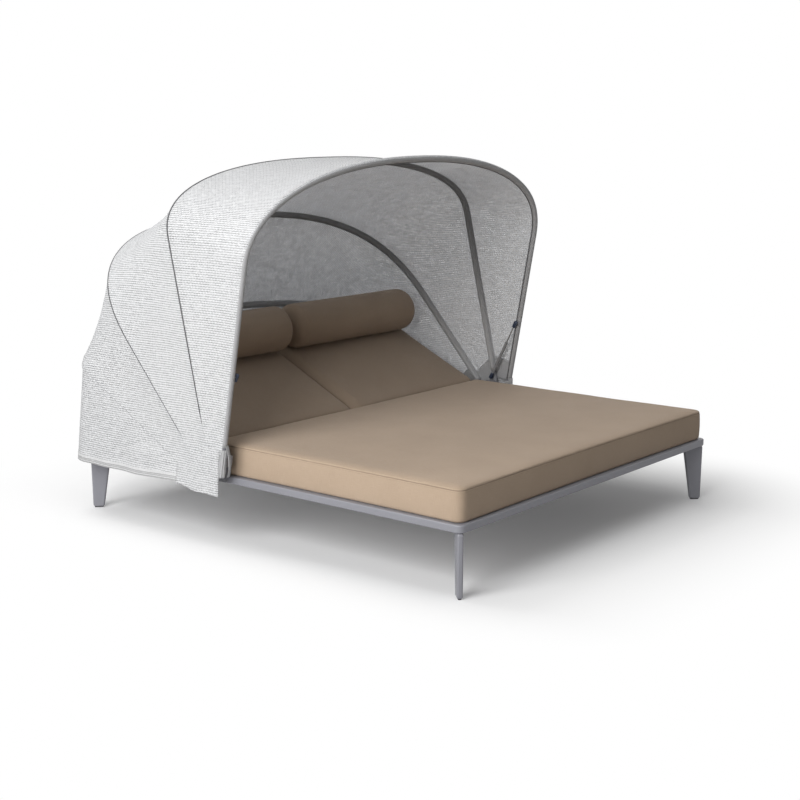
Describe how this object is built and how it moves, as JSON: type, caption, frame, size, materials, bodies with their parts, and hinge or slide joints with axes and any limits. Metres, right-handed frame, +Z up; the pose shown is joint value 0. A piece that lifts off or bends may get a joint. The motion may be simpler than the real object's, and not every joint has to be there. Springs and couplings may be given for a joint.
{
  "type": "outdoor daybed with canopy",
  "caption": "Low square daybed for two: full-width mattress, reclining backs with bolsters, and a hooped cloth canopy that folds back behind the head.",
  "frame": {"origin": "on the floor under the middle of the whole daybed, canopy included", "axes": "+Z up; +Y along the bed from the foot end to the head end; +X to the right of someone who stands at the foot end and looks at the head"},
  "size_m": [1.9702, 2.1572, 1.5013],
  "materials": {
    "frame_metal": "light grey powder coat, satin",
    "cast_metal": "grey powder coat on castings, satin",
    "zinc_steel": "bright zinc",
    "strut_paint": "dark semi-gloss paint",
    "pad_cloth": "tan outdoor weave, matt",
    "mesh_cloth": "off-white woven mesh with fine ribs",
    "glide_nylon": "dark nylon"
  },
  "bodies": {
    "base": {"base_frame": "frame_metal", "seat_deck_right": "frame_metal", "seat_deck_left": "frame_metal", "leg_foot_right": "frame_metal", "leg_foot_left": "frame_metal", "leg_head_right": "frame_metal", "leg_head_left": "frame_metal", "glide_foot_right": "glide_nylon", "glide_foot_left": "glide_nylon", "glide_head_right": "glide_nylon", "glide_head_left": "glide_nylon", "seat_mattress": "pad_cloth", "hinge_base_leaf_left_inner": "zinc_steel", "hinge_base_leaf_left_outer": "zinc_steel", "hinge_base_leaf_right_inner": "zinc_steel", "hinge_base_leaf_right_outer": "zinc_steel", "pivot_bracket_right": "cast_metal", "pivot_bracket_left": "cast_metal", "pivot_nut_right": "zinc_steel", "pivot_nut_left": "zinc_steel", "hoop_4_tube": "frame_metal", "hoop_4_foot_right": "cast_metal", "hoop_4_foot_left": "cast_metal", "canopy_skirt": "mesh_cloth"},
    "back_left": {"back_panel_left": "frame_metal", "back_cushion_left": "pad_cloth", "bolster_left": "pad_cloth", "hinge_back_leaf_left_inner": "zinc_steel", "hinge_back_leaf_left_outer": "zinc_steel"},
    "back_right": {"back_panel_right": "frame_metal", "back_cushion_right": "pad_cloth", "bolster_right": "pad_cloth", "hinge_back_leaf_right_inner": "zinc_steel", "hinge_back_leaf_right_outer": "zinc_steel"},
    "hoop_3": {"hoop_3_tube": "frame_metal", "hoop_3_foot_right": "cast_metal", "hoop_3_foot_left": "cast_metal", "canopy_rear": "mesh_cloth"},
    "hoop_2": {"hoop_2_tube": "frame_metal", "hoop_2_foot_right": "cast_metal", "hoop_2_foot_left": "cast_metal", "canopy_middle": "mesh_cloth"},
    "hoop_1": {"hoop_1_tube": "frame_metal", "hoop_1_foot_right": "cast_metal", "hoop_1_foot_left": "cast_metal", "strut_saddle_right": "cast_metal", "strut_saddle_left": "cast_metal", "canopy_front": "mesh_cloth"},
    "strut_body_left": {"strut_cylinder_left": "strut_paint"},
    "strut_body_right": {"strut_cylinder_right": "strut_paint"},
    "strut_piston_left": {"strut_rod_left": "zinc_steel"},
    "strut_piston_right": {"strut_rod_right": "zinc_steel"}
  },
  "joints": [
    {"name": "back_left_tilt", "type": "hinge", "parent": "base", "child": "back_left", "pos_m": [-0.427, 0.21944, 0.252], "axis": [1, 0, 0], "range_deg": [-25.5, 14.5]},
    {"name": "back_right_tilt", "type": "hinge", "parent": "base", "child": "back_right", "pos_m": [0.427, 0.21944, 0.252], "axis": [1, 0, 0], "range_deg": [-25.5, 14.5]},
    {"name": "canopy_fold", "type": "hinge", "parent": "base", "child": "hoop_3", "pos_m": [0, 0.09094, 0.28], "axis": [-1, 0, 0], "range_deg": [0, 20.1], "deforming": ["canopy_rear"]},
    {"name": "hoop_2_fold", "type": "hinge", "parent": "hoop_3", "child": "hoop_2", "pos_m": [0, 0.09094, 0.28], "axis": [-1, 0, 0], "range_deg": [0, 28.4], "deforming": ["canopy_middle"]},
    {"name": "hoop_1_fold", "type": "hinge", "parent": "hoop_2", "child": "hoop_1", "pos_m": [0, 0.09094, 0.28], "axis": [-1, 0, 0], "range_deg": [0, 23], "deforming": ["canopy_front"]},
    {"name": "strut_left_tilt", "type": "hinge", "parent": "hoop_2", "child": "strut_body_left", "pos_m": [-0.9355, 0.10326, 0.41202], "axis": [-1, 0, 0], "range_deg": [0, 32.81]},
    {"name": "strut_right_tilt", "type": "hinge", "parent": "hoop_2", "child": "strut_body_right", "pos_m": [0.9355, 0.10326, 0.41202], "axis": [-1, 0, 0], "range_deg": [0, 32.81]},
    {"name": "strut_left_slide", "type": "slide", "parent": "strut_body_left", "child": "strut_piston_left", "axis": [0, 0.4513, -0.8924], "range_m": [0, 0.01442]},
    {"name": "strut_right_slide", "type": "slide", "parent": "strut_body_right", "child": "strut_piston_right", "axis": [0, 0.4513, -0.8924], "range_m": [0, 0.01442]}
  ],
  "couplings": [
    {"joint": "hoop_2_fold", "follows": "canopy_fold", "ratio": 1.4129},
    {"joint": "hoop_1_fold", "follows": "canopy_fold", "ratio": 1.1443},
    {"joint": "strut_left_tilt", "follows": "canopy_fold", "ratio": 1.6321},
    {"joint": "strut_right_tilt", "follows": "canopy_fold", "ratio": 1.6321},
    {"joint": "strut_left_slide", "follows": "canopy_fold", "m_per_rad": 0.041078},
    {"joint": "strut_right_slide", "follows": "canopy_fold", "m_per_rad": 0.041078}
  ]
}
